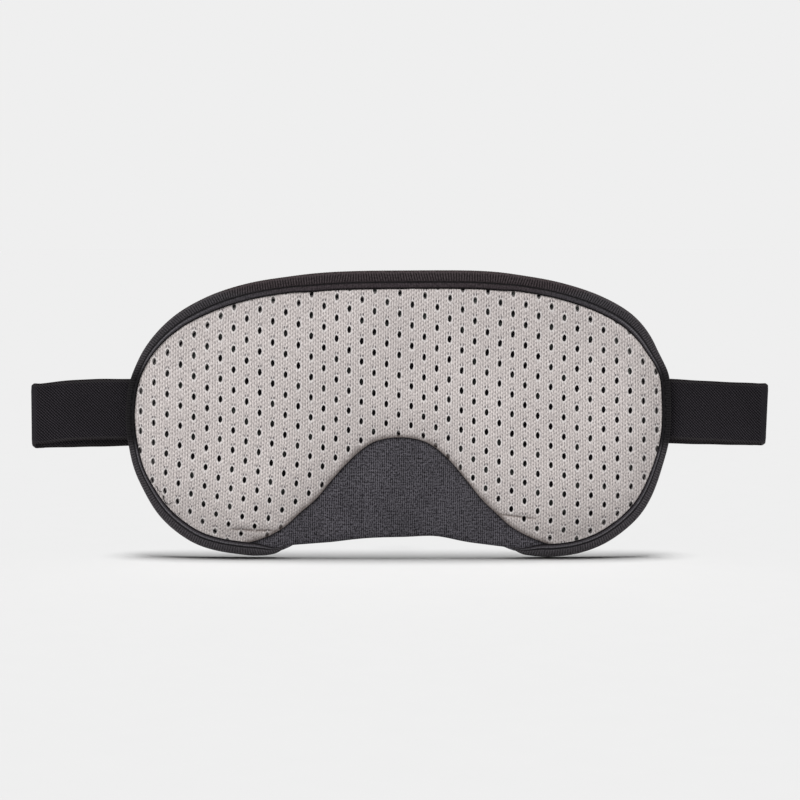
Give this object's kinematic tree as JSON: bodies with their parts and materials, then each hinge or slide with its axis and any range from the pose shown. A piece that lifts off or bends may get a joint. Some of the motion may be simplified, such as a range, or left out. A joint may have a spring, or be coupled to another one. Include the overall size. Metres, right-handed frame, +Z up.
{
  "type": "sleep eye mask",
  "caption": "Padded sleep eye mask with a perforated front panel, bound edge, soft nose flap and an elastic head strap with a slider.",
  "frame": {"origin": "middle of the mask's face side, level with the middle of the strap's front runs", "axes": "+Y out of the face side towards the wearer, +X across the mask, +Z up as worn"},
  "size_m": [0.2948, 0.0313, 0.1148],
  "materials": {
    "sports_mesh": "matte perforated knit",
    "lining": "matte",
    "foam": "soft open-cell foam",
    "film": "matte film",
    "jersey": "heather jersey",
    "binding": "ribbed elastic",
    "strap": "twill-woven elastic",
    "thread": "satin thread",
    "plastic": "satin moulded"
  },
  "bodies": {
    "mask": {"front_mesh_panel": "sports_mesh", "front_lining": "lining", "foam_pad": "foam", "blackout_film": "film", "back_panel": "jersey", "edge_binding": "binding", "binding_thread_front": "thread", "binding_thread_back": "thread", "arch_seam_thread": "thread", "strap_tack_left": "thread", "strap_tack_right": "thread", "strap_left_side": "strap", "strap_right_side": "strap"},
    "nose": {"nose_flap": "jersey"},
    "strap": {"strap_back": "strap", "strap_return": "strap", "ring": "plastic", "ring_strap": "strap", "ring_strap_thread": "thread"},
    "adjuster": {"slider": "plastic", "strap_end_loop": "strap", "strap_end_thread": "thread"}
  },
  "joints": [
    {"name": "strap_stretch", "type": "slide", "parent": "mask", "child": "strap", "axis": [0, 1, 0], "range_m": [0, 0.1], "stiffness_N_per_m": 60, "deforming": ["strap_left_side", "strap_right_side"]},
    {"name": "slider_adjust", "type": "slide", "parent": "strap", "child": "adjuster", "axis": [1, 0, 0], "range_m": [-0.06, 0.02], "deforming": ["strap_return"]},
    {"name": "nose_flap_flex", "type": "slide", "parent": "mask", "child": "nose", "axis": [0, 1, 0], "range_m": [-0.012, 0.004], "stiffness_N_per_m": 15, "deforming": ["nose_flap"]}
  ]
}
